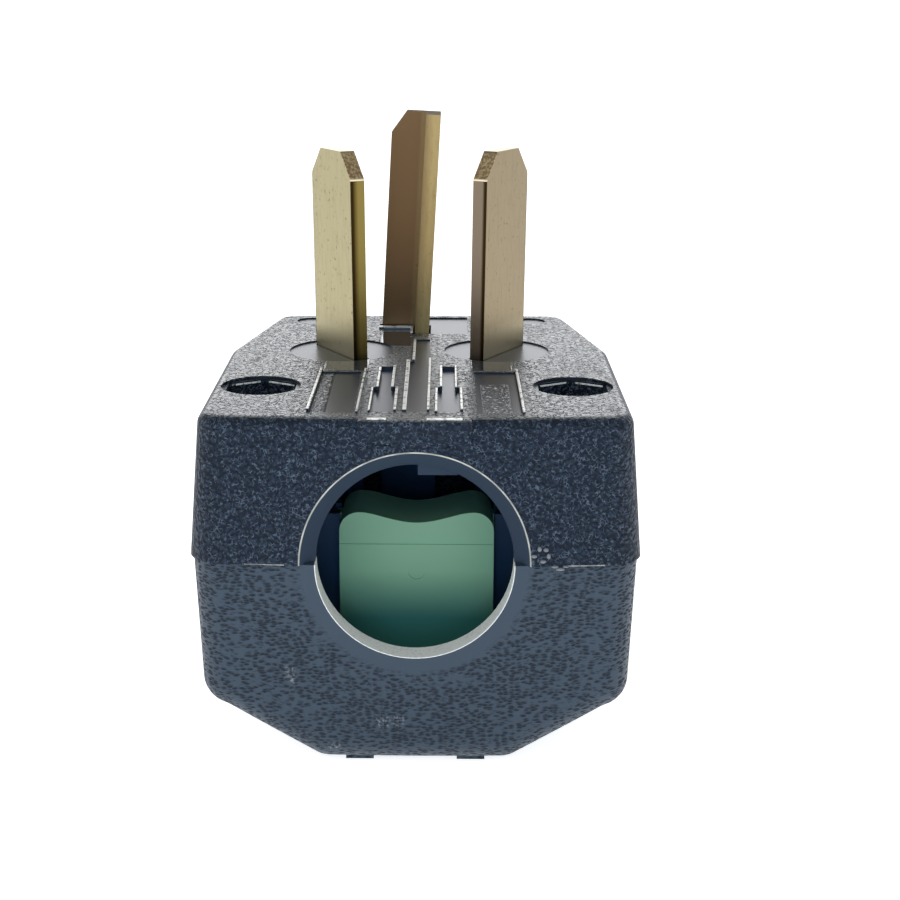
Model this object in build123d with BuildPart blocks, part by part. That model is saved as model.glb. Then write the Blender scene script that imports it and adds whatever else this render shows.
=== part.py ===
from build123d import *

from math import cos, radians, tan
import os

# A thirty ampere angle plug with a side cable entry. Two moulded half shells hold
# two slanted flat blades and an L shaped neutral blade, each with a screw terminal.
# Millimetres, blades up along Z, cable entry towards -Y, origin under the middle.

# Housing, measured at the parting line between the two shells
housing_width = 50.5
housing_length = 60.4
far_width = 41.4
side_run = 36.5
front_bow = 1.2
corner_radius = 4.2
shoulder_radius = 8.0
upper_height = 16.4
lower_height = 24.5
upper_draft = 4.6
lower_draft = 2.4
shell_step = 0.35
shell_wall = 3.0
face_wall = 4.0
face_edge_radius = 1.3
foot_height = 0.4

# Sloping underside of the lower shell
base_width = 21.4
base_slope = 29.9
base_edge_radius = 3.5

# Lip that locates the lower shell inside the upper one
lip_thickness = 1.2
lip_height = 1.6
lip_clearance = 0.15

# Round cable entry on the parting line
entry_radius = 11.0
entry_bevel = 1.75

# Blades and their terminal feet
blade_thickness = 1.9
hot_blade_width = 10.7
hot_blade_height = 25.4
hot_blade_spacing = 19.7
hot_blade_angle = 30.0
hot_blade_splay = 0.7
hot_blade_setback = 34.7
hot_foot_length = 9.0
tip_inset = 2.6
tip_height = 3.2
blade_clearance = 0.18

neutral_height = 28.8
neutral_depth = 6.2
neutral_reach = 5.4
neutral_crop = 1.9
neutral_crop_height = 2.9
neutral_setback = 44.8
neutral_lean = 3.0
neutral_foot_length = 13.0
neutral_foot_width = 7.4
neutral_side_gap = 0.45
bend_radius = 1.2

# Terminal screws and the saddle plates that clamp the wires
terminal_screw_diameter = 4.8
terminal_head_diameter = 7.6
terminal_head_height = 2.9
terminal_screw_length = 4.9
hot_screw_offset = 5.6
neutral_screw_offset = 9.0
thread_clearance = 0.08
terminal_tip_gap = 0.4
plate_length = 6.4
plate_thickness = 1.1
plate_lip = 0.9
plate_lip_height = 1.2
plate_clearance = 0.15
plate_hole_clearance = 0.2
terminal_pocket_gap = 0.5
slot_width = 1.1
slot_depth = 1.2
head_bevel = 0.35
tip_bevel = 0.15

# Housing screws: two with nuts beside the cable clamp, two thread forming ones behind
clamp_screw_spacing = 36.4
clamp_screw_setback = 15.5
clamp_screw_diameter = 3.5
clamp_screw_length = 25.4
clamp_upper_boss_diameter = 12.5
clamp_lower_boss_diameter = 10.4
nut_across_flats = 7.94
nut_thickness = 2.8
nut_clearance = 0.05
nut_pocket_depth = 6.5
nut_entry_depth = 0.35
nut_entry_clearance = 0.03
rear_screw_spacing = 30.0
rear_screw_setback = 53.2
rear_screw_diameter = 3.5
rear_screw_length = 25.4
rear_upper_boss_diameter = 7.2
rear_lower_boss_diameter = 10.0
screw_hole_clearance = 0.2
pilot_clearance = 0.05
pilot_end_gap = 0.8
head_diameter = 6.9
head_height = 2.3
head_clearance = 0.35
clamp_head_depth = 12.3
rear_head_depth = 15.3

# Cable clamp block and the guides that hold it
block_setback = 12.6
block_width = 18.2
block_depth = 8.9
block_rise = 1.8
block_height = 18.6
block_dip = 1.25
block_corner_radius = 2.3
block_wall = 1.8
block_core_depth = 14.0
block_flange_width = 19.6
block_flange_thickness = 2.0
block_pad_height = 14.7
block_pad_thickness = 0.15
block_mark_diameter = 1.9
block_mark_drop = 7.3
block_clearance = 0.25
guide_thickness = 1.5
seat_width = 3.0

# Barriers, supports and moulded relief
barrier_spacing = 15.2
barrier_thickness = 1.2
barrier_length = 15.0
support_width = 7.0
support_thickness = 2.2
support_gap = 0.2
support_root = 1.0
tooth_width = 4.4
tooth_offset = 2.5
tooth_height = 3.0
tooth_length = 3.0
tooth_setback = 2.1
disc_diameter = 13.3
disc_depth = 0.2
rear_mark_diameter = 4.2
neutral_pad_width = 6.4
neutral_pad_length = 11.0
gauge_depth = 0.5
gauge_spacing = 7.4
gauge_wide = 2.7
gauge_narrow = 1.6
gauge_wide_length = 11.4
gauge_narrow_length = 10.6
gauge_setback = 3.4
panel_width = 5.2
panel_length = 19.6
panel_depth = 0.2
panel_spacing = 18.8
panel_setback = 3.0
centre_strip_width = 2.7
centre_strip_length = 24.7
centre_tail_width = 1.85
centre_tail_length = 13.0
lip_plate_width = 12.2
lip_plate_height = 1.4
lip_plate_proud = 0.45
foot_width = 3.2
foot_length = 5.0
foot_spacing = 12.8
foot_setback = 4.0

# Heights and places that follow from the sizes above
base_z = foot_height
parting_z = base_z + lower_height
face_z = parting_z + upper_height
ceiling_z = face_z - face_wall
front_y = -housing_length / 2
far_y = housing_length / 2
face_inset = upper_height * tan(radians(upper_draft))
face_front_y = front_y + face_inset
hot_y = face_front_y + hot_blade_setback
neutral_near_y = face_front_y + neutral_setback
neutral_far_y = neutral_near_y + neutral_depth
neutral_foot_x = (neutral_foot_width - 2 * neutral_reach) / 2
neutral_screw_y = neutral_far_y - neutral_screw_offset
clamp_screw_y = face_front_y + clamp_screw_setback
rear_screw_y = face_front_y + rear_screw_setback
block_front_y = face_front_y + block_setback
block_back_y = block_front_y + block_depth
block_top_z = parting_z + block_rise
block_bottom_z = block_top_z - block_height
block_corner_z = block_top_z - block_corner_radius
clamp_head_z = parting_z - clamp_head_depth
rear_head_z = parting_z - rear_head_depth
foot_top_z = ceiling_z
foot_bottom_z = ceiling_z - blade_thickness
terminal_relief_depth = terminal_screw_length - plate_thickness - blade_thickness + terminal_tip_gap
nut_pocket_radius = (nut_across_flats / 2 + nut_clearance) / cos(radians(30))
lip_start_y = clamp_screw_y
entry_cut = 1 + shell_wall + entry_radius * tan(radians(upper_draft)) + 0.1
gauge_y = face_front_y + gauge_setback
panel_y = face_front_y + panel_setback
nut_seat_z = face_z - nut_pocket_depth
beyond = housing_length

sides = {"left": -1, "right": 1}
clamp_screw_places = [(side * clamp_screw_spacing / 2, clamp_screw_y) for side in sides.values()]
rear_screw_places = [(side * rear_screw_spacing / 2, rear_screw_y) for side in sides.values()]


def housing_outline(inset):
    """Plan of the housing at the parting line, drawn in by inset on every side."""
    half = housing_width / 2
    front_corner = front_y + front_bow
    with BuildSketch() as outline:
        with BuildLine():
            ThreePointArc((-half, front_corner), (0, front_y), (half, front_corner))
            Polyline(
                (half, front_corner),
                (half, front_y + side_run),
                (far_width / 2, far_y),
                (-far_width / 2, far_y),
                (-half, front_y + side_run),
                (-half, front_corner),
            )
        make_face()
        shoulders = outline.vertices().filter_by_position(
            Axis.Y, front_y + side_run - 1, front_y + side_run + 1
        )
        fillet(shoulders, shoulder_radius)
        ends = outline.vertices().filter_by_position(Axis.Y, front_y, front_corner + 1)
        ends += outline.vertices().filter_by_position(Axis.Y, far_y - 1, far_y)
        fillet(ends, corner_radius)
        if inset:
            offset(amount=-inset)
    return outline.sketch


def base_profile(inset):
    """Front view of the space above the flat base and its two slopes, drawn in by inset."""
    rise = tan(radians(base_slope))
    floor_z = base_z + inset
    half_floor = base_width / 2 - inset * (1 / cos(radians(base_slope)) - 1) / rise
    top_z = parting_z + lip_height
    slope_top = (half_floor + (top_z - floor_z) / rise, top_z)
    with BuildSketch() as profile:
        with BuildLine():
            Polyline(
                (-half_floor, floor_z),
                (half_floor, floor_z),
                slope_top,
                (-slope_top[0], top_z),
                (-half_floor, floor_z),
            )
        make_face()
    return profile.sketch


def hot_plane(side, z):
    """Plane on a hot blade: X along its width, Y towards its terminal foot."""
    turn = hot_blade_angle if side < 0 else 180 - hot_blade_angle
    place = Plane(origin=(side * hot_blade_spacing / 2, hot_y, z))
    return place.rotated((0, 0, 90 + turn))


def hot_place(side, out):
    """Point in plan on the middle line of a hot blade's foot, at a distance out from the blade."""
    spot = hot_plane(side, 0).from_local_coords((0, out, 0))
    return (spot.X, spot.Y)


def clamp_plate(plane, foot_width, middle):
    """Saddle plate under a terminal foot, with a lip up each side and a hole at middle."""
    wide = foot_width + 2 * (plate_clearance + plate_lip)
    seat = -blade_thickness
    with BuildPart() as plate:
        with BuildSketch(plane.offset(seat - plate_thickness)):
            with Locations((0, middle)):
                Rectangle(wide, plate_length)
        extrude(amount=plate_thickness)
        with BuildSketch(plane.offset(seat)):
            with Locations((0, middle)):
                Rectangle(wide, plate_length)
                Rectangle(wide - 2 * plate_lip, plate_length, mode=Mode.SUBTRACT)
        extrude(amount=plate_lip_height)
        with BuildSketch(plane.offset(seat - plate_thickness)):
            with Locations((0, middle)):
                Circle(terminal_screw_diameter / 2 + plate_hole_clearance)
        extrude(amount=plate_thickness, mode=Mode.SUBTRACT)
    return plate.part


def neutral_section(gap, side_gap):
    """Plan of the L shaped neutral blade, widened by gap and by side_gap towards its lean."""
    half = blade_thickness / 2
    with BuildSketch() as section:
        with BuildLine():
            Polyline(
                (-half - gap, neutral_near_y - gap),
                (half + side_gap, neutral_near_y - gap),
                (half + side_gap, neutral_far_y + gap),
                (-neutral_reach - gap, neutral_far_y + gap),
                (-neutral_reach - gap, neutral_far_y - blade_thickness - gap),
                (-half - gap, neutral_far_y - blade_thickness - gap),
                (-half - gap, neutral_near_y - gap),
            )
        make_face()
    return section.sketch


def guide_section(side):
    """Plan of the grooved guide that holds one end of the clamp block's flange."""
    outer_x = clamp_screw_spacing / 2
    body_x = block_width / 2 + block_clearance
    flange_x = block_flange_width / 2 + block_clearance
    flange_y = block_back_y - block_flange_thickness - block_clearance
    back_y = block_back_y + block_clearance
    end_y = back_y + guide_thickness
    with BuildSketch() as guide:
        with BuildLine():
            Polyline(
                (side * outer_x, flange_y - guide_thickness),
                (side * body_x, flange_y - guide_thickness),
                (side * body_x, flange_y),
                (side * flange_x, flange_y),
                (side * flange_x, back_y),
                (side * body_x, back_y),
                (side * body_x, end_y),
                (side * outer_x, end_y),
                (side * outer_x, flange_y - guide_thickness),
            )
        make_face()
    return guide.sketch


def screw_body(place, seat_z, diameter, length, head_across, head_tall):
    """Slotted screw at place in plan, head down, its head seated at seat_z from below."""
    with BuildPart() as screw:
        with BuildSketch(Plane.XY.offset(seat_z - head_tall)):
            with Locations(place):
                Circle(head_across / 2)
        extrude(amount=head_tall)
        chamfer(screw.edges().group_by(Axis.Z)[0], head_tall * head_bevel)
        with BuildSketch(Plane.XY.offset(seat_z - head_tall)):
            with Locations(place):
                Rectangle(head_across * 2, slot_width)
        extrude(amount=slot_depth, mode=Mode.SUBTRACT)
        with BuildSketch(Plane.XY.offset(seat_z)):
            with Locations(place):
                Circle(diameter / 2)
        extrude(amount=length)
        chamfer(screw.edges().group_by(Axis.Z)[-1], diameter * tip_bevel)
    return screw.part


os.makedirs("parts", exist_ok=True)

# Space inside the upper shell, with the screw bosses, barriers and cable tooth left standing
with BuildPart() as upper_space:
    with BuildSketch(Plane.XY.offset(parting_z)):
        add(housing_outline(shell_wall))
    extrude(amount=ceiling_z - parting_z, taper=upper_draft)
    with BuildSketch(Plane.XY.offset(parting_z)):
        add(housing_outline(shell_wall - lip_thickness - lip_clearance))
        with Locations((0, lip_start_y)):
            Rectangle(beyond, beyond, align=(Align.CENTER, Align.MAX), mode=Mode.SUBTRACT)
    extrude(amount=lip_height + lip_clearance)
    for side in sides.values():
        with BuildSketch(hot_plane(side, ceiling_z)):
            with Locations((0, hot_screw_offset)):
                Rectangle(
                    hot_blade_width + 2 * (plate_clearance + plate_lip + terminal_pocket_gap),
                    plate_length + 2 * terminal_pocket_gap,
                )
        extrude(amount=parting_z + lip_height - ceiling_z)
    with BuildSketch(Plane.XY.offset(parting_z)):
        with Locations(*clamp_screw_places):
            Circle(clamp_upper_boss_diameter / 2)
        with Locations(*rear_screw_places):
            Circle(rear_upper_boss_diameter / 2)
    extrude(amount=ceiling_z - parting_z, mode=Mode.SUBTRACT)
    with BuildSketch(Plane.XY.offset(parting_z + lip_height + lip_clearance)):
        with Locations(*[(side * barrier_spacing / 2, far_y) for side in sides.values()]):
            Rectangle(barrier_thickness, barrier_length, align=(Align.CENTER, Align.MAX))
    extrude(amount=ceiling_z - parting_z, mode=Mode.SUBTRACT)
    with BuildSketch(Plane.XY.offset(ceiling_z - tooth_height)):
        with Locations((tooth_offset, face_front_y + tooth_setback)):
            Rectangle(tooth_width, tooth_length, align=(Align.CENTER, Align.MIN))
    extrude(amount=tooth_height, mode=Mode.SUBTRACT)

# Upper shell: the moulded half that carries the blades and traps the clamp nuts
with BuildPart() as upper_shell:
    with BuildSketch(Plane.XY.offset(parting_z)):
        add(housing_outline(0))
    extrude(amount=upper_height, taper=upper_draft)
    fillet(upper_shell.edges().group_by(Axis.Z)[-1], face_edge_radius)
    with BuildSketch(Plane.XZ.offset(-face_front_y - shell_wall / 2)):
        with Locations((0, face_z - face_edge_radius - lip_plate_height / 2)):
            Rectangle(lip_plate_width, lip_plate_height)
    extrude(amount=shell_wall / 2 + lip_plate_proud)
    add(upper_space.part, mode=Mode.SUBTRACT)
    with BuildSketch(Plane.XZ.offset(1 - front_y)):
        with Locations((0, parting_z)):
            Circle(entry_radius)
    extrude(amount=-entry_cut, mode=Mode.SUBTRACT)
    rim = upper_shell.edges().sort_by_distance((0, front_y, parting_z + entry_radius))[0]
    chamfer(rim, entry_bevel)
    for side in sides.values():
        with BuildSketch(hot_plane(side, face_z)):
            Rectangle(hot_blade_width + 2 * blade_clearance, blade_thickness + 2 * blade_clearance)
        extrude(amount=-2 * face_wall, mode=Mode.SUBTRACT)
    with BuildSketch(Plane.XY.offset(face_z)):
        add(neutral_section(blade_clearance, neutral_side_gap))
    extrude(amount=-2 * face_wall, mode=Mode.SUBTRACT)
    with BuildSketch(Plane.XY.offset(ceiling_z)):
        for side in sides.values():
            with Locations(hot_place(side, hot_screw_offset)):
                Circle(terminal_screw_diameter / 2 + screw_hole_clearance)
        with Locations((neutral_foot_x, neutral_screw_y)):
            Circle(terminal_screw_diameter / 2 + screw_hole_clearance)
    extrude(amount=terminal_relief_depth, mode=Mode.SUBTRACT)
    with BuildSketch(Plane.XY.offset(face_z)):
        with Locations(*clamp_screw_places):
            Circle(nut_pocket_radius + nut_entry_clearance)
    extrude(amount=-nut_entry_depth, mode=Mode.SUBTRACT)
    with BuildSketch(Plane.XY.offset(face_z)):
        with Locations(*clamp_screw_places):
            RegularPolygon(nut_pocket_radius, 6, rotation=30)
    extrude(amount=-nut_pocket_depth, mode=Mode.SUBTRACT)
    with BuildSketch(Plane.XY.offset(parting_z)):
        with Locations(*clamp_screw_places):
            Circle(clamp_screw_diameter / 2 + screw_hole_clearance)
    extrude(amount=upper_height, mode=Mode.SUBTRACT)
    with BuildSketch(Plane.XY.offset(parting_z)):
        with Locations(*rear_screw_places):
            Circle(rear_screw_diameter / 2 + pilot_clearance)
    extrude(amount=rear_head_z + rear_screw_length + pilot_end_gap - parting_z, mode=Mode.SUBTRACT)
    with BuildSketch(Plane.XY.offset(face_z)):
        with Locations(*[(side * hot_blade_spacing / 2, hot_y) for side in sides.values()]):
            Circle(disc_diameter / 2)
        with Locations(*rear_screw_places):
            Circle(rear_mark_diameter / 2)
        with Locations((neutral_pad_width / 2, neutral_near_y - blade_clearance)):
            Rectangle(neutral_pad_width, neutral_pad_length, align=(Align.CENTER, Align.MIN))
    extrude(amount=-disc_depth, mode=Mode.SUBTRACT)
    with BuildSketch(Plane.XY.offset(face_z)):
        with Locations(*[(side * gauge_spacing / 2, gauge_y) for side in sides.values()]):
            Rectangle(gauge_wide, gauge_wide_length, align=(Align.CENTER, Align.MIN))
            Rectangle(
                gauge_narrow,
                gauge_wide_length + gauge_narrow_length,
                align=(Align.CENTER, Align.MIN),
            )
    extrude(amount=-gauge_depth, mode=Mode.SUBTRACT)
    with BuildSketch(Plane.XY.offset(face_z)):
        with Locations(*[(side * panel_spacing / 2, panel_y) for side in sides.values()]):
            Rectangle(panel_width, panel_length, align=(Align.CENTER, Align.MIN))
        with Locations((0, gauge_y)):
            Rectangle(centre_strip_width, centre_strip_length, align=(Align.CENTER, Align.MIN))
        with Locations((centre_strip_width / 2, gauge_y + centre_strip_length)):
            Rectangle(centre_tail_width, centre_tail_length, align=(Align.MAX, Align.MIN))
    extrude(amount=-panel_depth, mode=Mode.SUBTRACT)
upper_shell.part.label = "upper_shell"
export_step(upper_shell.part, "parts/upper_shell.step")

# Space inside the lower shell, with bosses, clamp guides, clamp seats and blade supports left
with BuildPart() as lower_space:
    with BuildSketch(Plane.XY.offset(parting_z)):
        add(housing_outline(shell_step + shell_wall))
    extrude(amount=lower_height, dir=(0, 0, -1), taper=lower_draft)
    with BuildSketch(Plane.XZ):
        add(base_profile(shell_wall))
    extrude(amount=beyond, both=True, mode=Mode.INTERSECT)
    with BuildSketch(Plane.XY.offset(parting_z)):
        with Locations(*clamp_screw_places):
            Circle(clamp_lower_boss_diameter / 2)
        with Locations(*rear_screw_places):
            Circle(rear_lower_boss_diameter / 2)
        for side in sides.values():
            add(guide_section(side))
        for side in sides.values():
            with Locations(hot_plane(side, 0).location):
                Rectangle(support_width, support_thickness)
        with Locations((neutral_foot_x, neutral_far_y)):
            Rectangle(neutral_foot_width, support_thickness, align=(Align.CENTER, Align.MAX))
    extrude(amount=-lower_height, mode=Mode.SUBTRACT)
    with BuildSketch(Plane.XY.offset(block_bottom_z)):
        for side in sides.values():
            with Locations((side * (block_width / 2 - seat_width / 2), block_front_y + block_depth / 2)):
                Rectangle(seat_width, block_depth)
    extrude(amount=-lower_height, mode=Mode.SUBTRACT)

# Lower shell: the moulded half with the sloping underside, held on by four screws
with BuildPart() as lower_shell:
    with BuildSketch(Plane.XY.offset(parting_z)):
        add(housing_outline(shell_step))
    extrude(amount=lower_height, dir=(0, 0, -1), taper=lower_draft)
    with BuildSketch(Plane.XZ):
        add(base_profile(0))
    extrude(amount=beyond, both=True, mode=Mode.INTERSECT)
    fillet(lower_shell.edges().filter_by_position(Axis.Z, 0, parting_z / 2), base_edge_radius)
    add(lower_space.part, mode=Mode.SUBTRACT)
    with BuildSketch(Plane.XZ.offset(1 - front_y)):
        with Locations((0, parting_z)):
            Circle(entry_radius)
    extrude(amount=-entry_cut, mode=Mode.SUBTRACT)
    with BuildSketch(Plane.XY.offset(parting_z)):
        add(housing_outline(shell_wall - lip_thickness))
        add(housing_outline(shell_wall + shell_step), mode=Mode.SUBTRACT)
        with Locations((0, lip_start_y)):
            Rectangle(beyond, beyond, align=(Align.CENTER, Align.MAX), mode=Mode.SUBTRACT)
        with Locations(*clamp_screw_places):
            Circle(clamp_upper_boss_diameter / 2 + lip_clearance, mode=Mode.SUBTRACT)
        with Locations(*rear_screw_places):
            Circle(rear_upper_boss_diameter / 2 + lip_clearance, mode=Mode.SUBTRACT)
    extrude(amount=lip_height)
    with BuildSketch(Plane.XY.offset(parting_z - support_root)):
        for side in sides.values():
            with Locations(hot_plane(side, 0).location):
                Rectangle(support_width, support_thickness)
        with Locations((neutral_foot_x, neutral_far_y)):
            Rectangle(neutral_foot_width, support_thickness, align=(Align.CENTER, Align.MAX))
    extrude(amount=foot_bottom_z - support_gap - parting_z + support_root)
    with BuildSketch():
        with Locations(*clamp_screw_places):
            Circle(head_diameter / 2 + head_clearance)
    extrude(amount=clamp_head_z, mode=Mode.SUBTRACT)
    with BuildSketch():
        with Locations(*rear_screw_places):
            Circle(head_diameter / 2 + head_clearance)
    extrude(amount=rear_head_z, mode=Mode.SUBTRACT)
    with BuildSketch():
        with Locations(*clamp_screw_places, *rear_screw_places):
            Circle(clamp_screw_diameter / 2 + screw_hole_clearance)
    extrude(amount=parting_z, mode=Mode.SUBTRACT)
    with BuildSketch(Plane.XY.offset(base_z)):
        for end in sides.values():
            for side in sides.values():
                with Locations((side * foot_spacing / 2, end * (far_y - foot_setback - foot_length / 2))):
                    Rectangle(foot_width, foot_length)
    extrude(amount=-foot_height)
lower_shell.part.label = "lower_shell"
export_step(lower_shell.part, "parts/lower_shell.step")

# Flat hot blades: brass strip with cropped tips, bent out under the face to a tapped foot
for name, side in sides.items():
    blade_plane = hot_plane(side, foot_top_z)
    side_plane = Plane(blade_plane.origin, x_dir=blade_plane.y_dir, z_dir=blade_plane.x_dir)
    front_plane = Plane(blade_plane.origin, x_dir=blade_plane.x_dir, z_dir=-blade_plane.y_dir)
    heel = blade_plane.from_local_coords((0, -blade_thickness / 2, -blade_thickness))
    tip_z = face_wall + hot_blade_height
    tip_shift = tip_z * tan(radians(hot_blade_splay))
    half_thick = blade_thickness / 2
    half_wide = hot_blade_width / 2
    with BuildPart() as hot_blade:
        with BuildSketch(side_plane):
            with BuildLine():
                Polyline(
                    (tip_shift - half_thick, tip_z),
                    (tip_shift + half_thick, tip_z),
                    (half_thick, 0),
                    (hot_foot_length, 0),
                    (hot_foot_length, -blade_thickness),
                    (-half_thick, -blade_thickness),
                    (tip_shift - half_thick, tip_z),
                )
            make_face()
        extrude(amount=half_wide, both=True)
        fillet(hot_blade.edges().sort_by_distance(heel)[0], bend_radius)
        with BuildSketch(front_plane):
            with BuildLine():
                Polyline(
                    (-half_wide, -2 * blade_thickness),
                    (half_wide, -2 * blade_thickness),
                    (half_wide, tip_z - tip_height),
                    (half_wide - tip_inset, tip_z),
                    (-half_wide + tip_inset, tip_z),
                    (-half_wide, tip_z - tip_height),
                    (-half_wide, -2 * blade_thickness),
                )
            make_face()
        extrude(amount=2 * hot_foot_length, both=True, mode=Mode.INTERSECT)
        with BuildSketch(blade_plane):
            with Locations((0, hot_screw_offset)):
                Circle(terminal_screw_diameter / 2 + thread_clearance)
        extrude(amount=-2 * blade_thickness, mode=Mode.SUBTRACT)
    hot_blade.part.label = f"{name}_hot_blade"
    export_step(hot_blade.part, f"parts/{name}_hot_blade.step")

    plate = clamp_plate(blade_plane, hot_blade_width, hot_screw_offset)
    plate.label = f"{name}_wire_plate"
    export_step(plate, f"parts/{name}_wire_plate.step")

# Neutral blade: an L shaped brass blade that leans a little, on a foot bent towards the cable
lean_plane = Plane(origin=(0, 0, foot_top_z)).rotated((0, neutral_lean, 0))
lean_front = Plane(lean_plane.origin, x_dir=lean_plane.x_dir, z_dir=-lean_plane.y_dir)
neutral_tip_z = face_wall + neutral_height
with BuildPart() as neutral_blade:
    with BuildSketch(lean_plane.offset(-blade_thickness / 2)):
        add(neutral_section(0, 0))
    extrude(amount=neutral_tip_z + blade_thickness / 2)
    with BuildSketch(lean_front):
        with Locations((-neutral_reach, neutral_tip_z)):
            Polygon((0, 0), (neutral_crop, 0), (0, -neutral_crop_height), align=None)
    extrude(amount=beyond, both=True, mode=Mode.SUBTRACT)
    with BuildSketch(Plane.XY.offset(foot_top_z)):
        with Locations((neutral_foot_x, neutral_far_y)):
            Rectangle(neutral_foot_width, neutral_foot_length, align=(Align.CENTER, Align.MAX))
    extrude(amount=-blade_thickness)
    with BuildSketch(Plane.XY.offset(foot_top_z)):
        with Locations((neutral_foot_x, neutral_screw_y)):
            Circle(terminal_screw_diameter / 2 + thread_clearance)
    extrude(amount=-2 * blade_thickness, mode=Mode.SUBTRACT)
neutral_blade.part.label = "neutral_blade"
export_step(neutral_blade.part, "parts/neutral_blade.step")

neutral_plane = Plane(origin=(neutral_foot_x, neutral_screw_y, foot_top_z))
plate = clamp_plate(neutral_plane, neutral_foot_width, 0)
plate.label = "neutral_wire_plate"
export_step(plate, "parts/neutral_wire_plate.step")

# Terminal screws: one under each foot, head down, so a wire goes in once the lower shell is off
terminal_places = {name: hot_place(side, hot_screw_offset) for name, side in sides.items()}
terminal_places["neutral"] = (neutral_foot_x, neutral_screw_y)
for name, place in terminal_places.items():
    screw = screw_body(
        place,
        foot_bottom_z - plate_thickness,
        terminal_screw_diameter,
        terminal_screw_length,
        terminal_head_diameter,
        terminal_head_height,
    )
    screw.label = f"{name}_terminal_screw"
    export_step(screw, f"parts/{name}_terminal_screw.step")

# Housing screws: pan heads sunk in the lower shell, a nut beside the cable, none behind
for name, side in sides.items():
    clamp_place = (side * clamp_screw_spacing / 2, clamp_screw_y)
    screw = screw_body(
        clamp_place, clamp_head_z, clamp_screw_diameter, clamp_screw_length, head_diameter, head_height
    )
    screw.label = f"{name}_clamp_screw"
    export_step(screw, f"parts/{name}_clamp_screw.step")

    rear_place = (side * rear_screw_spacing / 2, rear_screw_y)
    screw = screw_body(
        rear_place, rear_head_z, rear_screw_diameter, rear_screw_length, head_diameter, head_height
    )
    screw.label = f"{name}_rear_screw"
    export_step(screw, f"parts/{name}_rear_screw.step")

    with BuildPart() as nut:
        with BuildSketch(Plane.XY.offset(nut_seat_z)):
            with Locations(clamp_place):
                RegularPolygon(nut_across_flats / 2, 6, major_radius=False, rotation=30)
                Circle(clamp_screw_diameter / 2 + thread_clearance, mode=Mode.SUBTRACT)
        extrude(amount=nut_thickness)
    nut.part.label = f"{name}_clamp_nut"
    export_step(nut.part, f"parts/{name}_clamp_nut.step")

# Cable clamp block: a green moulding with a waved top, cored from below, in the shell's guides
with BuildPart() as clamp_block:
    half_block = block_width / 2
    with BuildSketch(Plane.XZ.offset(-block_back_y)):
        with BuildLine():
            Polyline(
                (-half_block, block_corner_z),
                (-half_block, block_bottom_z),
                (half_block, block_bottom_z),
                (half_block, block_corner_z),
            )
            RadiusArc(
                (half_block, block_corner_z),
                (half_block - block_corner_radius, block_top_z),
                -block_corner_radius,
            )
            Spline(
                (half_block - block_corner_radius, block_top_z),
                (half_block / 2, block_top_z - block_dip * 0.3),
                (0, block_top_z - block_dip),
                (-half_block / 2, block_top_z - block_dip * 0.3),
                (-half_block + block_corner_radius, block_top_z),
                tangents=[(-1, 0), (-1, 0)],
            )
            RadiusArc(
                (-half_block + block_corner_radius, block_top_z),
                (-half_block, block_corner_z),
                -block_corner_radius,
            )
        make_face()
    extrude(amount=block_depth)
    with BuildSketch(Plane.XZ.offset(-block_back_y)):
        with Locations((0, block_bottom_z)):
            Rectangle(
                block_flange_width, block_height - block_corner_radius, align=(Align.CENTER, Align.MIN)
            )
    extrude(amount=block_flange_thickness)
    with BuildSketch(Plane.XZ.offset(-block_front_y)):
        with Locations((0, block_bottom_z)):
            Rectangle(block_width, block_pad_height, align=(Align.CENTER, Align.MIN))
    extrude(amount=block_pad_thickness)
    with BuildSketch(Plane.XY.offset(block_bottom_z)):
        with Locations((0, (block_front_y + block_back_y) / 2)):
            Rectangle(block_width - 2 * block_wall, block_depth - 2 * block_wall)
    extrude(amount=block_core_depth, mode=Mode.SUBTRACT)
    with BuildSketch(Plane.XZ.offset(-block_front_y + block_pad_thickness)):
        with Locations((0, block_top_z - block_mark_drop)):
            Circle(block_mark_diameter / 2)
    extrude(amount=-block_pad_thickness, mode=Mode.SUBTRACT)
clamp_block.part.label = "cable_clamp_block"
export_step(clamp_block.part, "parts/cable_clamp_block.step")
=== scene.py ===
import math

import bmesh
import bpy
from mathutils import Matrix, Vector


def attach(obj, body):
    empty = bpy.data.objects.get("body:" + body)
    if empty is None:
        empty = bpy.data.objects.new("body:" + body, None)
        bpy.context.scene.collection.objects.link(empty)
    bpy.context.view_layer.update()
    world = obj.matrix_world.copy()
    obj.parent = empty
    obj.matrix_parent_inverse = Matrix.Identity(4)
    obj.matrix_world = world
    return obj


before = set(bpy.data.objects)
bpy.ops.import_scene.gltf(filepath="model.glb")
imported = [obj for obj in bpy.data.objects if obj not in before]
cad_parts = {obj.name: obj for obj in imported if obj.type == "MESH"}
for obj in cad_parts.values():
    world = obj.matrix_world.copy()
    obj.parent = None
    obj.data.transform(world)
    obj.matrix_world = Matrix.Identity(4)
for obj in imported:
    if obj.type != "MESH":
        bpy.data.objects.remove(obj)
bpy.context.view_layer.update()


# The lower shell is moulded in black ABS, and the mould is etched with a leather grain whose
# dimples run sideways. The land round the cable entry is left smooth. The wall of the entry was
# trimmed, so it is pale and rough, and its near-white colour is partly painted light. A few
# scuffs show on the front.
MM = 0.001
ABS_IOR = 1.53
PARTING = 24.9 * MM
FRONT_WALL = (-40.0 * MM, -24.0 * MM)
LAND_RADIUS = 12.5 * MM
ENTRY_RADIUS = 11.06 * MM
TRIMMED_DEPTH = (-50.0 * MM, -26.0 * MM)
LOWER_ROOM = ((-20.0, 20.0), (-25.0, 20.0), (7.0, 24.8))
DIMPLE_SPACING = 0.74 * MM
DIMPLE_DEPTH = 0.15 * MM
DIMPLE_SWAY = (0.9 * MM,) * 3
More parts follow.
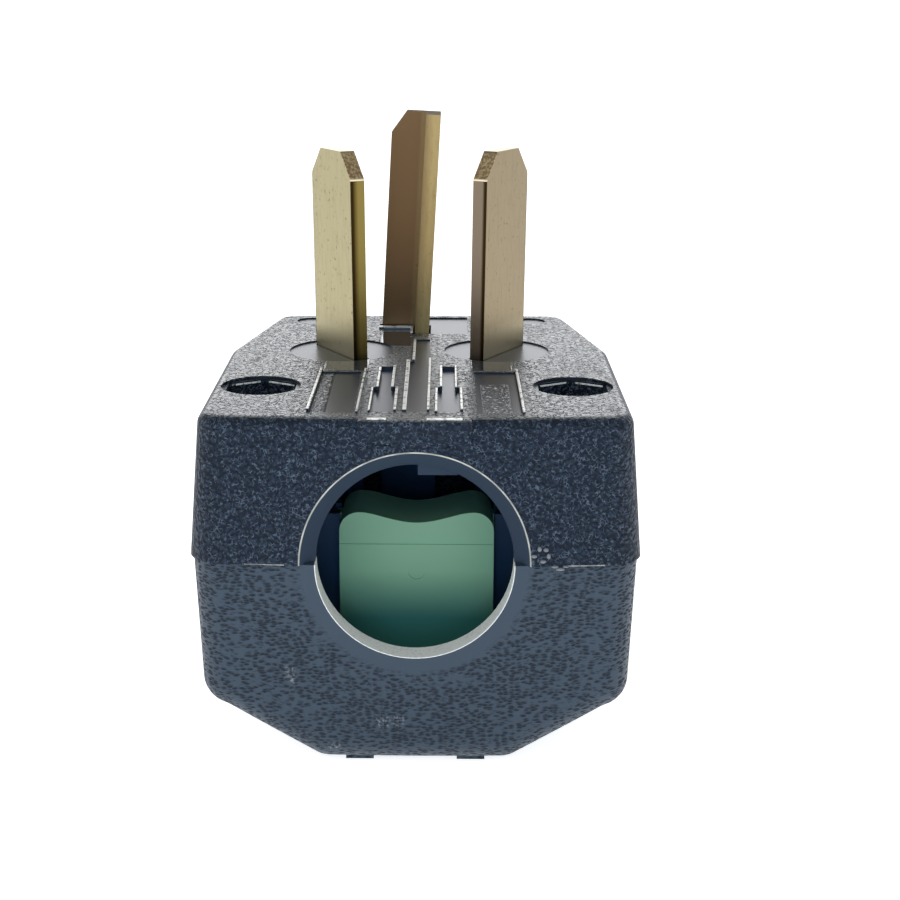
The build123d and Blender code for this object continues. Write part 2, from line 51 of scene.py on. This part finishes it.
SCUFFS = (
    ((-4.2, -1.4), (5.6, 6.4), 2.2),
    ((-14.2, -13.7), (10.8, 12.4), 2.2),
    ((-9.6, -8.6), (2.4, 3.0), 2.0),
)


def linear(code):
    """sRGB hex colour to the linear colour that a shader takes."""
    parts = [int(code[i:i + 2], 16) / 255 for i in (1, 3, 5)]
    return [c / 12.92 if c <= 0.04045 else ((c + 0.055) / 1.055) ** 2.4 for c in parts] + [1.0]


def feed(tree, socket, value):
    """Gives an input a number, a vector, a hex colour, or what another node puts out."""
    if isinstance(value, bpy.types.Node):
        value = next(out for out in value.outputs if out.enabled)
    if isinstance(value, bpy.types.NodeSocket):
        tree.links.new(value, socket)
    else:
        socket.default_value = linear(value) if isinstance(value, str) else value


def add_node(tree, kind, *inputs, **settings):
    """Adds one node. A setting is an attribute, or an input by name, and the other inputs follow
    in the node's own order."""
    made = tree.nodes.new("ShaderNode" + kind)
    for name, value in settings.items():
        if hasattr(made, name):
            setattr(made, name, value)
        else:
            feed(tree, made.inputs[name], value)
    for socket, value in zip([socket for socket in made.inputs if socket.enabled], inputs):
        feed(tree, socket, value)
    return made


def new_material(name):
    """A material with one principled shader, and its node tree."""
    material = bpy.data.materials.new(name)
    material.use_nodes = True
    return material, material.node_tree


def shade(material, settings):
    """Sets inputs of the shader: constants on its own sockets, and patterns by link."""
    tree = material.node_tree
    for name, value in settings.items():
        feed(tree, tree.nodes["Principled BSDF"].inputs[name], value)


def dress(name, material):
    """Gives a CAD node its material."""
    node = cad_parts[name]
    node.data.materials.clear()
    node.data.materials.append(material)


def object_axes(tree):
    """Object coordinates, whole and split into X, Y and Z."""
    place = add_node(tree, "TexCoord").outputs["Object"]
    split = add_node(tree, "SeparateXYZ", place)
    return place, split.outputs["X"], split.outputs["Y"], split.outputs["Z"]


def overlap(tree, *masks):
    """One where all the masks are one."""
    shared = masks[0]
    for mask in masks[1:]:
        shared = add_node(tree, "Math", shared, mask, operation="MULTIPLY")
    return shared


def cut_out(tree, mask, hole):
    """A mask with another one taken out of it."""
    rest = add_node(tree, "Math", 1.0, hole, operation="SUBTRACT")
    return overlap(tree, mask, rest)


def band(tree, value, low, high, soft):
    """One between low and high, fading to nothing over soft on either side."""
    rise = add_node(tree, "MapRange", value, low - soft, low)
    fall = add_node(tree, "MapRange", value, high + soft, high)
    return overlap(tree, rise, fall)


def patch(tree, coordinates, ranges, soft):
    """One where each coordinate is inside its range. Ranges are in millimetres."""
    return overlap(tree, *[
        band(tree, coordinate, low * MM, high * MM, soft * MM)
        for coordinate, (low, high) in zip(coordinates, ranges)
    ])


def coats(tree, ground, *layers):
    """A ground colour with others laid over it, each where its mask says."""
    for mask, colour in layers:
        ground = add_node(tree, "Mix", mask, ground, colour, data_type="RGBA")
    return ground


def entry_distance(tree, x, z):
    """Distance from the axis of the cable entry."""
    above = add_node(tree, "Math", z, PARTING, operation="SUBTRACT")
    spoke = add_node(tree, "CombineXYZ", x, above)
    return add_node(tree, "VectorMath", spoke, operation="LENGTH")


# Moulded ABS has a satin shine, a little blue from the room, and the dimples look dark and dull.
# The ground is painted a paler blue-grey than the upper shell's, as painted light from the paper
# below.
lower_abs, tree = new_material("leather_grain_abs")
place, x, y, z = object_axes(tree)
drift = add_node(tree, "TexNoise", place, Scale=1 / (3.0 * MM), Detail=1.0).outputs["Color"]
sway = add_node(tree, "VectorMath", drift, DIMPLE_SWAY, place, operation="MULTIPLY_ADD")
stretch = add_node(tree, "Mapping", sway, Scale=(1.0, 1.0, 2.3))
dimples = add_node(
    tree, "TexVoronoi", stretch, feature="F1", Scale=1 / DIMPLE_SPACING, Randomness=0.8
)
pit = add_node(tree, "MapRange", dimples, 0.58, 0.223)

# The land is smooth, and so are the walls of the room inside. They are painted navy, as painted
# light that reaches them dimly.
radius = entry_distance(tree, x, z)
on_front = band(tree, y, *FRONT_WALL, 0.5 * MM)
land = overlap(
    tree, on_front, add_node(tree, "MapRange", radius, LAND_RADIUS + 0.8 * MM, LAND_RADIUS)
)
room = patch(tree, (x, y, z), LOWER_ROOM, 0.1)
pit = cut_out(tree, cut_out(tree, pit, land), room)

grit = add_node(tree, "TexNoise", place, Scale=1 / (0.35 * MM), Detail=3.0)
# The trimmed wall is rough and pale, and painted near white partly as painted light.
trimmed_and_lit = overlap(
    tree, band(tree, radius, 0.0, ENTRY_RADIUS, 0.03 * MM),
    band(tree, y, *TRIMMED_DEPTH, 0.2 * MM), add_node(tree, "MapRange", grit, -0.5, 0.5),
)
# The blue-grey ground is partly painted light from the paper below.
tone = coats(tree, "#313E4A", (pit, "#1B242E"), (room, "#2B4A6B"), (trimmed_and_lit, "#F6F6F2"))
for across, up, amount in SCUFFS:
    scratched = add_node(tree, "MapRange", grit, 0.5, 0.5 + 1 / amount)
    scuff = overlap(tree, patch(tree, (x, z), (across, up), 0.5), on_front, scratched)
    tone = coats(tree, tone, (scuff, "#AEB4BA"))
proud = add_node(tree, "Math", 1.0, pit, operation="SUBTRACT")
shade(lower_abs, {
    "Base Color": tone,
    "Roughness": add_node(tree, "MapRange", pit, 0.0, 1.0, 0.42, 0.77),
    "IOR": ABS_IOR,
    "Specular Tint": "#CAD6EA",
    "Normal": add_node(tree, "Bump", Strength=1.0, Distance=DIMPLE_DEPTH, Height=proud),
})
dress("lower_shell", lower_abs)


# The upper shell is the same ABS with a finer pebble grain, which turns to worm shapes on the
# blade face. The rounds under the blades and the bevel of the entry are plain inserts in the
# mould. The sharp edge of the bevel is rubbed, and painted pale as a highlight.
FACE = 41.3 * MM
UPPER_FRONT = (-50.0 * MM, -25.0 * MM)
BEVEL_RADIUS = 12.8 * MM
PEBBLE_SPACING = 0.56 * MM
PEBBLE_EDGE_SPACING = 0.36 * MM
PEBBLE_SHIFT = (0.7 * MM,) * 3
PEBBLE_DEPTH = 0.18 * MM
WORM_SPACING = 0.75 * MM
FACE_FIELD = ((-20.0, 20.0), (-26.6, 26.0))
POLISHED = (
    (((-4.9, -1.1), (8.5, 18.8)), 1.0),
    (((-11.3, -6.1), (-5.6, 3.0)), 0.85),
    (((6.6, 11.3), (-5.6, 3.0)), 0.85),
)
ROUGH_PANELS = ((((7.5, 10.6), (-26.0, -12.0)), 0.1), (((-11.6, -10.2), (-26.0, -5.5)), 0.3))
NICK = ((-20.1, -19.8), (-1.4, 1.4))
HIGHLIT_PARTING = (((16.4, 20.9), (24.9, 25.0)), ((-18.8, -14.4), (24.9, 25.0)))
UPPER_ROOMS = (
    ((-21.5, 21.5), (-24.5, 4.0), (20.0, 38.2)),
    ((-18.0, 18.0), (4.0, 26.0), (20.0, 38.2)),
)


def either(tree, *masks):
    """One where any of the masks is one."""
    joined = masks[0]
    for mask in masks[1:]:
        joined = add_node(tree, "Math", joined, mask, operation="MAXIMUM")
    return joined


# The pebbles are paler than the dark joints between them. On the face the worm shapes are painted
# grey, partly as a painted sheen of the pale wall behind, which the face takes as well, and the
# face shines more where it is worn.
upper_abs, tree = new_material("pebble_grain_abs")
place, x, y, z = object_axes(tree)
warp = add_node(tree, "TexNoise", place, Scale=1 / (1.6 * MM), Detail=1.0)
shift = add_node(
    tree, "VectorMath", warp.outputs["Color"], PEBBLE_SHIFT, place, operation="MULTIPLY_ADD"
)
pebbles = add_node(
    tree, "TexVoronoi", shift, feature="SMOOTH_F1", Scale=1 / PEBBLE_SPACING, Smoothness=0.3,
    Randomness=1.0,
)
crown = add_node(tree, "MapRange", pebbles, 0.62, 0.1655)

# The bevel of the entry, and the floors of the panels, gauges and rounds, are plain.
radius = entry_distance(tree, x, z)
in_front = band(tree, y, *UPPER_FRONT, 0.5 * MM)
mouth = overlap(tree, in_front, band(tree, radius, 0.0, BEVEL_RADIUS, 0.1 * MM))
field = patch(tree, (x, y), FACE_FIELD, 0.05)
inlay = overlap(tree, field, band(tree, z, FACE - 0.6 * MM, FACE - 0.12 * MM, 0.04 * MM))

# The face is worn smooth in front of each blade.
polished = either(tree, *[
    overlap(tree, patch(tree, (x, y), ranges, 0.3), amount) for ranges, amount in POLISHED
])
polished = overlap(tree, polished, band(tree, z, FACE, 100.0 * MM, 0.1 * MM))
inlay = either(tree, inlay, polished)

# The room inside is plain too, and its walls are painted navy as painted light. It narrows with
# the housing towards the far end.
room = either(tree, *[patch(tree, (x, y, z), ranges, 0.1) for ranges in UPPER_ROOMS])
for plain in (mouth, inlay, room):
    crown = cut_out(tree, crown, plain)

# Pebble edges carry pale flecks, painted highlights where they catch the light unevenly.
spots = add_node(tree, "TexNoise", place, Scale=1 / (0.45 * MM), Detail=2.0)
rings = add_node(
    tree, "TexVoronoi", shift, feature="DISTANCE_TO_EDGE", Scale=1 / PEBBLE_EDGE_SPACING,
    Randomness=1.0,
)
fleck = overlap(
    tree, add_node(tree, "MapRange", rings, 0.12, 0.0367),
    add_node(tree, "MapRange", spots, 0.47, 0.6367),
)
fleck = cut_out(tree, fleck, mouth)

# The worm shapes follow the level lines of a noise, and one small nick breaks them.
veins = add_node(tree, "TexNoise", place, Scale=1 / WORM_SPACING, Detail=1.0)
vein_side = add_node(tree, "Math", veins, 0.5, operation="SUBTRACT")
vein_side = add_node(tree, "Math", vein_side, operation="ABSOLUTE")
worm = add_node(tree, "MapRange", vein_side, 0.0, 0.0714)
worm = cut_out(tree, worm, patch(tree, (x, y), NICK, 0.08))
worm = either(tree, worm, inlay)
flat_top = band(tree, z, FACE - 0.1 * MM, 100.0 * MM, 0.06 * MM)
on_face = either(tree, flat_top, inlay)
face_tone = coats(tree, "#111314", (worm, "#585B58"), (inlay, "#20272E"))

# Part of each wide panel is rough, with pale specks.
rough_spots = either(tree, *[patch(tree, (x, y), ranges, soft) for ranges, soft in ROUGH_PANELS])
rough_spots = overlap(tree, rough_spots, inlay)
speck = overlap(tree, rough_spots, add_node(tree, "MapRange", spots, 0.60, 0.6714))

# The low step round each panel, gauge and round is painted a little paler, as a painted highlight
# where it catches the light.
step = overlap(tree, field, band(tree, z, FACE - 0.19 * MM, FACE - 0.01 * MM, 0.005 * MM))

# The bevel's sharp edge is rubbed, and painted pale as a highlight, and two stretches of the
# parting line carry a painted highlight.
rubbed_highlight = overlap(
    tree, in_front, band(tree, radius, BEVEL_RADIUS - 0.1 * MM, BEVEL_RADIUS, 0.06 * MM),
    add_node(tree, "MapRange", warp, 0.0, 0.625),
)
for ranges in HIGHLIT_PARTING:
    parting_highlight = overlap(tree, patch(tree, (x, z), ranges, 0.05), in_front, warp)
    rubbed_highlight = either(tree, rubbed_highlight, parting_highlight)
tone = coats(
    tree, "#04080D", (crown, "#1B2734"), (mouth, "#26323F"), (fleck, "#4F5B67"),
    (on_face, face_tone), (speck, "#C2C6C6"), (room, "#2B4A6B"), (step, "#3C4044"),
    (rubbed_highlight, "#C9C8BC"),
)

gloss = 0.60
for mask, gain in (
    (crown, 0.14), (overlap(tree, flat_top, worm), 0.22), (inlay, 0.25), (polished, 0.12)
):
    gloss = add_node(tree, "Math", mask, -gain, gloss, operation="MULTIPLY_ADD")
relief = add_node(tree, "Mix", flat_top, crown, worm)
relief = add_node(
    tree, "Math", overlap(tree, rough_spots, spots), 1.4, relief, operation="MULTIPLY_ADD"
)
relief = overlap(tree, relief, add_node(tree, "MapRange", flat_top, 0.0, 1.0, 1.0, 0.52))
shade(upper_abs, {
    "Base Color": tone,
    "Roughness": gloss,
    "IOR": ABS_IOR,
    "Specular Tint": "#A9BDE2",
    "Normal": add_node(tree, "Bump", Strength=1.0, Distance=PEBBLE_DEPTH, Height=relief),
})
dress("upper_shell", upper_abs)


# The mould inserts left raised rims round the panels, the strip gauges and the middle strip of
# the blade face. They are ABS as well, glossy, and their tops are painted pale as highlights.
# Each rim is given in millimetres by the two ends of its middle line and its width.
RIM_HEIGHT = 0.32
LINE_HEIGHT = 0.10
NUT_X, NUT_Y, NUT_LEVEL = 18.2, -13.38, -0.62
NUT_CORNER, NUT_PEAK = (3.7, 2.44), (0.5, 4.28)
RIMS = (
    (-11.66, -5.2, -11.88, -25.2, 0.30), (-6.31, -5.6, -6.43, -26.2, 0.24),
    (11.88, -5.8, 11.92, -26.3, 0.30), (-1.22, -0.9, -1.22, -25.4, 0.42),
    (-0.60, 11.2, -0.60, -0.9, 0.30), (1.42, 0.1, 1.42, -25.3, 0.26),
    (-4.55, -5.0, -4.55, -14.8, 0.28), (-2.82, -4.2, -2.82, -14.8, 0.30),
    (-5.10, -15.2, -5.10, -25.8, 0.22), (-2.28, -15.1, -2.28, -25.4, 0.30),
    (2.80, -4.1, 2.80, -14.6, 0.30), (4.56, -4.1, 4.56, -15.0, 0.24),
    (2.30, -15.5, 2.30, -26.0, 0.26), (5.12, -15.4, 5.12, -25.3, 0.30),
    (-5.60, 19.2, -0.95, 19.2, 0.90), (-1.15, 19.2, -1.15, 15.2, 0.34),
)
LIP_LINES = ((-5.2, -28.7, -3.1, -28.7, 0.9), (1.3, -28.7, 5.2, -28.7, 0.9))
LIP_LINE_TOPS = ((-29.3, -28.4), (41.35, 42.0))
NUT_LINES = [
    (nut_x + end * NUT_CORNER[0], NUT_Y + NUT_CORNER[1],
     nut_x + end * NUT_PEAK[0], NUT_Y + NUT_PEAK[1], 0.16)
    for nut_x in (-NUT_X, NUT_X) for end in (-1, 1)
]
NUT_LINE_TOPS = ((-14.0, -8.0), (0.0, 40.95))


def add_piece(name, shape, material):
    """Makes an object of a finished bmesh, in one material."""
    mesh = bpy.data.meshes.new(name)
    shape.to_mesh(mesh)
    shape.free()
    mesh.materials.append(material)
    piece = bpy.data.objects.new(name, mesh)
    bpy.context.scene.collection.objects.link(piece)
    return piece


bm = bmesh.new()
for lines, height, level in (
    (RIMS, RIM_HEIGHT, 0.0), (NUT_LINES, LINE_HEIGHT, NUT_LEVEL), (LIP_LINES, LINE_HEIGHT, 0.0)
):
    for x_from, y_from, x_to, y_to, width in lines:
        run = Vector((x_to - x_from, y_to - y_from))
        bar = bmesh.ops.create_cube(bm, size=MM)["verts"]
        bmesh.ops.scale(bm, vec=(run.length, width, 2 * height), verts=bar)
        turn = Matrix.Rotation(math.atan2(run.y, run.x), 3, "Z")
        bmesh.ops.rotate(bm, cent=(0.0, 0.0, 0.0), matrix=turn, verts=bar)
        middle = ((x_from + x_to) / 2 * MM, (y_from + y_to) / 2 * MM, FACE + level * MM)
        bmesh.ops.translate(bm, vec=middle, verts=bar)
bmesh.ops.bevel(
    bm, geom=bm.edges[:], offset=0.05 * MM, offset_type="OFFSET", affect="EDGES", segments=2,
    profile=0.5, material=-1,
)

# Only the tops carry the painted highlight, and not evenly, so the rims read as broken pale lines
# on dark feet.
rim_highlight_abs, tree = new_material("rim_highlight_abs")
place, _, y, z = object_axes(tree)
top = either(
    tree, add_node(tree, "MapRange", z, FACE + 0.2 * MM, FACE + 0.26 * MM),
    patch(tree, (y, z), NUT_LINE_TOPS, 0.01), patch(tree, (y, z), LIP_LINE_TOPS, 0.02),
)
highlight_breaks = add_node(tree, "TexNoise", place, Scale=1 / (0.7 * MM), Detail=3.0)
highlight_breaks = add_node(tree, "MapRange", highlight_breaks, 0.33, 0.4729)
shade(rim_highlight_abs, {
    "Base Color": coats(tree, "#1A2028", (overlap(tree, highlight_breaks, top), "#E2E4E0")),
    "Roughness": 0.28,
    "IOR": ABS_IOR,
})
rims = add_piece("face_rims", bm, rim_highlight_abs)
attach(rims, "root")


# A short lip of the upper shell carries the middle of the face out over the cable entry. It is
# flush with the face, in the same moulded ABS, with rounded edges.
LIP_SIZE = (12.5, 2.2, 1.5)
LIP_Y = -28.4
LIP_STAND = 0.01
bm = bmesh.new()
bmesh.ops.create_cube(bm, size=MM)
bmesh.ops.scale(bm, vec=LIP_SIZE, verts=bm.verts[:])
lip_middle = (0.0, LIP_Y * MM, FACE - (LIP_SIZE[2] / 2 - LIP_STAND) * MM)
bmesh.ops.translate(bm, vec=lip_middle, verts=bm.verts[:])
bmesh.ops.bevel(
    bm, geom=bm.edges[:], offset=0.4 * MM, offset_type="OFFSET", affect="EDGES", segments=3,
    profile=0.5, material=-1,
)
face_lip = add_piece("face_lip", bm, upper_abs)
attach(face_lip, "root")


# A little flash and a crushed burr are left at the parting line, right of the cable entry. They
# are torn ABS, paler than the moulded skin, in small rounded lumps on the bowed front.
FLASH = (
    (13.1, 26.1, 0.34, 0.22), (13.7, 26.9, 0.26, 0.30), (14.4, 26.8, 0.30, 0.24),
    (14.7, 26.1, 0.24, 0.34), (14.1, 25.5, 0.36, 0.22), (15.4, 24.9, 0.42, 0.16),
    (16.0, 24.6, 0.50, 0.20), (16.6, 24.9, 0.34, 0.14),
)
FLASH_DEPTH = 0.22
FRONT_Y, FRONT_BOW, FRONT_DRAFT, HALF_WIDTH = -30.2, 1.2, 0.08, 25.25
bm = bmesh.new()
for across, up, wide, tall in FLASH:
    lump = bmesh.ops.create_icosphere(bm, subdivisions=2, radius=MM)["verts"]
    bmesh.ops.scale(bm, vec=(wide, FLASH_DEPTH, tall), verts=lump)
    front = FRONT_Y + FRONT_BOW * (across / HALF_WIDTH) ** 2 + FRONT_DRAFT * (up - PARTING / MM)
    bmesh.ops.translate(bm, vec=(across * MM, front * MM, up * MM), verts=lump)
torn_abs, tree = new_material("torn_abs")
shade(torn_abs, {"Base Color": "#70757A", "Roughness": 0.4, "IOR": ABS_IOR})
flash = add_piece("parting_flash", bm, torn_abs)
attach(flash, "root")


# The two flat blades are stamped from brass strip, and the upper shell holds their feet. Their
# broad sides are rolled and lightly tarnished, and are painted paler near the face as painted
# light. Their sheared edges are browner, with a dark line along the near corner, and the cropped
# tips carry painted glints, with a painted highlight along the lip where the crop starts.
HOT_WIDTH = 10.7 * MM
HOT_SPLAY = math.tan(math.radians(0.7))
HOT_BEND = 37.3 * MM
HOT_SIDE = HOT_WIDTH / 2 - 0.10 * MM
CROP_START = 63.5 * MM
CROP_TOP = 66.4 * MM
CROP_SLOPE = 2.6 / 3.2
BRASS_ROUGHNESS = 0.36


def worn_brass(name, rolled, stained):
    """Rolled brass with drag lines along the blade, drawn coarse enough to show, and stains."""
    brass, tree = new_material(name)
    place = object_axes(tree)[0]
    drag = add_node(tree, "Mapping", place, Scale=(1.0, 1.0, 0.16))
    streaks = add_node(tree, "TexNoise", drag, Scale=1 / (0.5 * MM), Detail=5.0, Roughness=0.6)
    stain = add_node(tree, "MapRange", streaks, 0.45, 1.0056)
    flecks = add_node(tree, "TexNoise", place, Scale=1 / (0.55 * MM), Detail=2.0)
    flecks = add_node(tree, "MapRange", flecks, 0.62, 0.7867)
    shade(brass, {
        "Metallic": 1.0,
        "Roughness": BRASS_ROUGHNESS,
        "Normal": add_node(tree, "Bump", Strength=0.08, Distance=0.05 * MM, Height=streaks),
    })
    return brass, tree, place, coats(tree, rolled, (stain, stained), (flecks, "#6E6142"))


# The right blade's colours are painted darker than the left blade's, as painted shade.
for name, turn, middle, rolled, stained, sheared, dark_line_width in (
    ("left_hot_blade", 120, (-9.85, 5.82), "#A49B78", "#8B825F", "#8C7C46", 0.7),
    ("right_hot_blade", 240, (9.85, 5.82), "#8F8166", "#7C7057", "#847666", 0.3),
):
    brass, tree, place, tone = worn_brass(f"{name}_brass", rolled, stained)
    angle = math.radians(-turn)
    centre = Matrix.Rotation(angle, 3, "Z") @ Vector((middle[0] * MM, middle[1] * MM, 0.0))
    squared = add_node(tree, "Mapping", place, Rotation=(0.0, 0.0, angle), Location=-centre)
    split = add_node(tree, "SeparateXYZ", squared)
    height = split.outputs["Z"]
    along = add_node(tree, "Math", split.outputs["X"], operation="ABSOLUTE")
    edge = add_node(tree, "MapRange", along, HOT_SIDE, HOT_SIDE + 0.05 * MM)

    # The dark line keeps to the near corner of the edge, which leans out with the blade.
    lean = add_node(tree, "Math", height, HOT_BEND, operation="SUBTRACT")
    lean = add_node(tree, "Math", lean, HOT_SPLAY, operation="MULTIPLY")
    across = add_node(tree, "Math", split.outputs["Y"], lean, operation="SUBTRACT")
    dark_corner_line = overlap(tree, edge, band(tree, across, 0.65 * MM, 2.0 * MM, dark_line_width * MM))

    # The crop runs down each side of the tip, and ends in a lip. The crop carries painted glints,
    # and the lip a painted highlight.
    slant = add_node(tree, "Math", height, CROP_SLOPE, along, operation="MULTIPLY_ADD")
    slant_start = HOT_SIDE + CROP_START * CROP_SLOPE
    cut = overlap(
        tree, band(tree, height, CROP_START, CROP_TOP, 0.1 * MM),
        add_node(tree, "MapRange", slant, slant_start, slant_start + 0.05 * MM),
    )
    lip = band(tree, height, CROP_START - 0.15 * MM, CROP_START + 0.15 * MM, 0.05 * MM)
    painted_glint = add_node(tree, "TexNoise", place, Scale=1 / (0.32 * MM), Detail=2.0)
    painted_glint = add_node(tree, "MapRange", painted_glint, 0.42, 0.62)
    # The blade is painted paler near the face, as painted light.
    lit_foot = add_node(tree, "MapRange", height, FACE + 4.0 * MM, FACE - 4.0 * MM)
    shade(brass, {"Base Color": coats(
        tree, tone, (lit_foot, "#E0D8B8"), (edge, sheared), (dark_corner_line, "#33260F"),
        (cut, coats(tree, "#947E5C", (painted_glint, "#CDBA92"))),
        (overlap(tree, lip, edge), "#F0E4C4"),
    )})
    dress(name, brass)


# The neutral blade is brass strip folded to an L, and it leans to the right. Its front is painted
# from brown to gold across the fold as painted shade, and its sheared top is dull and painted
# dark as painted shade, so it loses the metal's shine.
NEUTRAL_LEAN = math.radians(-3.0)
NEUTRAL_OFFSET = 2.16 * MM
FOLD_PALE, FOLD_DARK = 0.35 * MM, -1.55 * MM
brass, tree, place, tone = worn_brass("neutral_blade_brass", "#90784F", "#7A653D")
upright = add_node(
    tree, "Mapping", place, Rotation=(0.0, NEUTRAL_LEAN, 0.0), Location=(NEUTRAL_OFFSET, 0.0, 0.0)
)
from_fold = add_node(tree, "SeparateXYZ", upright).outputs["X"]
# Painted shade: brown on the left of the fold, gold on the right.
fold_shade = add_node(tree, "MapRange", from_fold, FOLD_PALE, FOLD_DARK)
normal = add_node(tree, "NewGeometry").outputs["Normal"]
upward = add_node(tree, "MapRange", add_node(tree, "SeparateXYZ", normal).outputs["Z"], 0.1, 1.1)
# The upward faces are dull, and painted dark as painted shade.
shade(brass, {
    "Base Color": coats(tree, tone, (fold_shade, "#5C442D"), (upward, "#4A3E28")),
    "Metallic": add_node(tree, "Math", 1.0, upward, operation="SUBTRACT"),
    "Roughness": add_node(
        tree, "Math", upward, 0.6, BRASS_ROUGHNESS, operation="MULTIPLY_ADD"
    ),
})
dress("neutral_blade", brass)


# The hot blades' binding screws are turned from brass, and are brighter than the blades. The
# other screws, the nuts and the wire plates are steel with bright zinc plate.
terminal_brass, tree = new_material("turned_brass")
shade(terminal_brass, {"Base Color": "#C9B070", "Metallic": 1.0, "Roughness": 0.3})
for name in ("left_terminal_screw", "right_terminal_screw"):
    dress(name, terminal_brass)
zinc, tree = new_material("zinc_plated_steel")
shade(zinc, {"Base Color": "#C4C4BE", "Metallic": 1.0, "Roughness": 0.3})
for name in (
    "left_clamp_screw", "right_clamp_screw", "left_rear_screw", "right_rear_screw",
    "left_clamp_nut", "right_clamp_nut", "neutral_terminal_screw",
    "left_wire_plate", "right_wire_plate", "neutral_wire_plate",
):
    dress(name, zinc)


# The clamp block is moulded in green nylon, satin, with a step line below its waved top. Its
# lower half is painted darker, as painted shade.
SHADE_TOP, SHADE_FULL = 19.5 * MM, 13.5 * MM
nylon_green, tree = new_material("green_nylon")
z = object_axes(tree)[3]
# Painted shade, darker towards the bottom of the block.
painted_shade = add_node(tree, "MapRange", z, SHADE_TOP, SHADE_FULL)
shade(nylon_green, {
    "Base Color": coats(tree, "#7EB18F", (painted_shade, "#296A62")), "Roughness": 0.5, "IOR": ABS_IOR,
})
dress("cable_clamp_block", nylon_green)


# The plug stands on white paper on a light table, which glows a little and leaves only a
# weak shadow.
PAPER_SIZE = 14.0
bm = bmesh.new()
bmesh.ops.create_grid(bm, x_segments=1, y_segments=1, size=PAPER_SIZE)
paper, tree = new_material("white_paper")
shade(paper, {
    "Base Color": "#F2F2F2", "Roughness": 1.0, "Emission Color": "#FFFFFF",
    "Emission Strength": 0.8,
})
floor = add_piece("studio_floor", bm, paper)


# The room is bright behind and beside the plug and dark on the camera's side, so that the
# fronts stay dark and the blade face picks up the pale wall behind.
ROOM_LEVELS = ((0.2, 0.06), (0.5, 0.13), (0.78, 0.20), (0.94, 0.76))
ROOM_STRENGTH = 3.6
world = bpy.data.worlds.new("studio")
world.use_nodes = True
tree = world.node_tree
way = add_node(tree, "TexCoord").outputs["Generated"]
facing = add_node(tree, "SeparateXYZ", way).outputs["Y"]
walls = add_node(tree, "ValToRGB", add_node(tree, "MapRange", facing, -1.0, 1.0))
stops = walls.color_ramp.elements
for index, (position, level) in enumerate(ROOM_LEVELS):
    stop = stops[index] if index < len(stops) else stops.new(position)
    stop.position = position
    stop.color = (level, level, level, 1.0)
backdrop = tree.nodes["Background"]
feed(tree, backdrop.inputs["Color"], walls)
feed(tree, backdrop.inputs["Strength"], ROOM_STRENGTH)
bpy.context.scene.world = world
bpy.context.scene.view_settings.view_transform = "Standard"


# A wide soft box over the camera lights the clamp block, and a small blue fill beside the lens
# reaches into the mouth of the plug. Places and sides are in metres.
LIT_POINT = Vector((0.0, 0.0, 0.02))
for name, sides, energy, colour, place in (
    ("soft_box", (0.5, 0.35), 1.4, "#FFFFFF", (-0.08, -0.50, 0.48)),
    ("lens_fill", (0.12, 0.12), 0.32, "#B8D9F8", (0.0, -0.42, 0.10)),
):
    lamp = bpy.data.lights.new(name, "AREA")
    lamp.shape = "RECTANGLE"
    lamp.size, lamp.size_y = sides
    lamp.energy = energy
    lamp.color = linear(colour)[:3]
    holder = bpy.data.objects.new(name, lamp)
    holder.location = place
    holder.rotation_euler = (Vector(place) - LIT_POINT).to_track_quat("Z", "Y").to_euler()
    bpy.context.scene.collection.objects.link(holder)


# The camera stands in front and a little above, at the photograph's distance. Its small shift
# places the plug in the frame as the photograph does.
CAMERA_PITCH = 15.4
CAMERA_YAW = 0.86
camera_data = bpy.data.cameras.new("photo_camera")
camera_data.sensor_width = 36.0
camera_data.lens = 67.6
camera_data.shift_x = 0.0361
camera_data.shift_y = -0.0167
camera_data.clip_start = 0.01
camera = bpy.data.objects.new("photo_camera", camera_data)
camera.location = (2.95 * MM, -204.9 * MM, FACE + 46.8 * MM)
camera.rotation_euler = (math.radians(90 - CAMERA_PITCH), 0, math.radians(CAMERA_YAW))
bpy.context.scene.collection.objects.link(camera)
bpy.context.scene.camera = camera
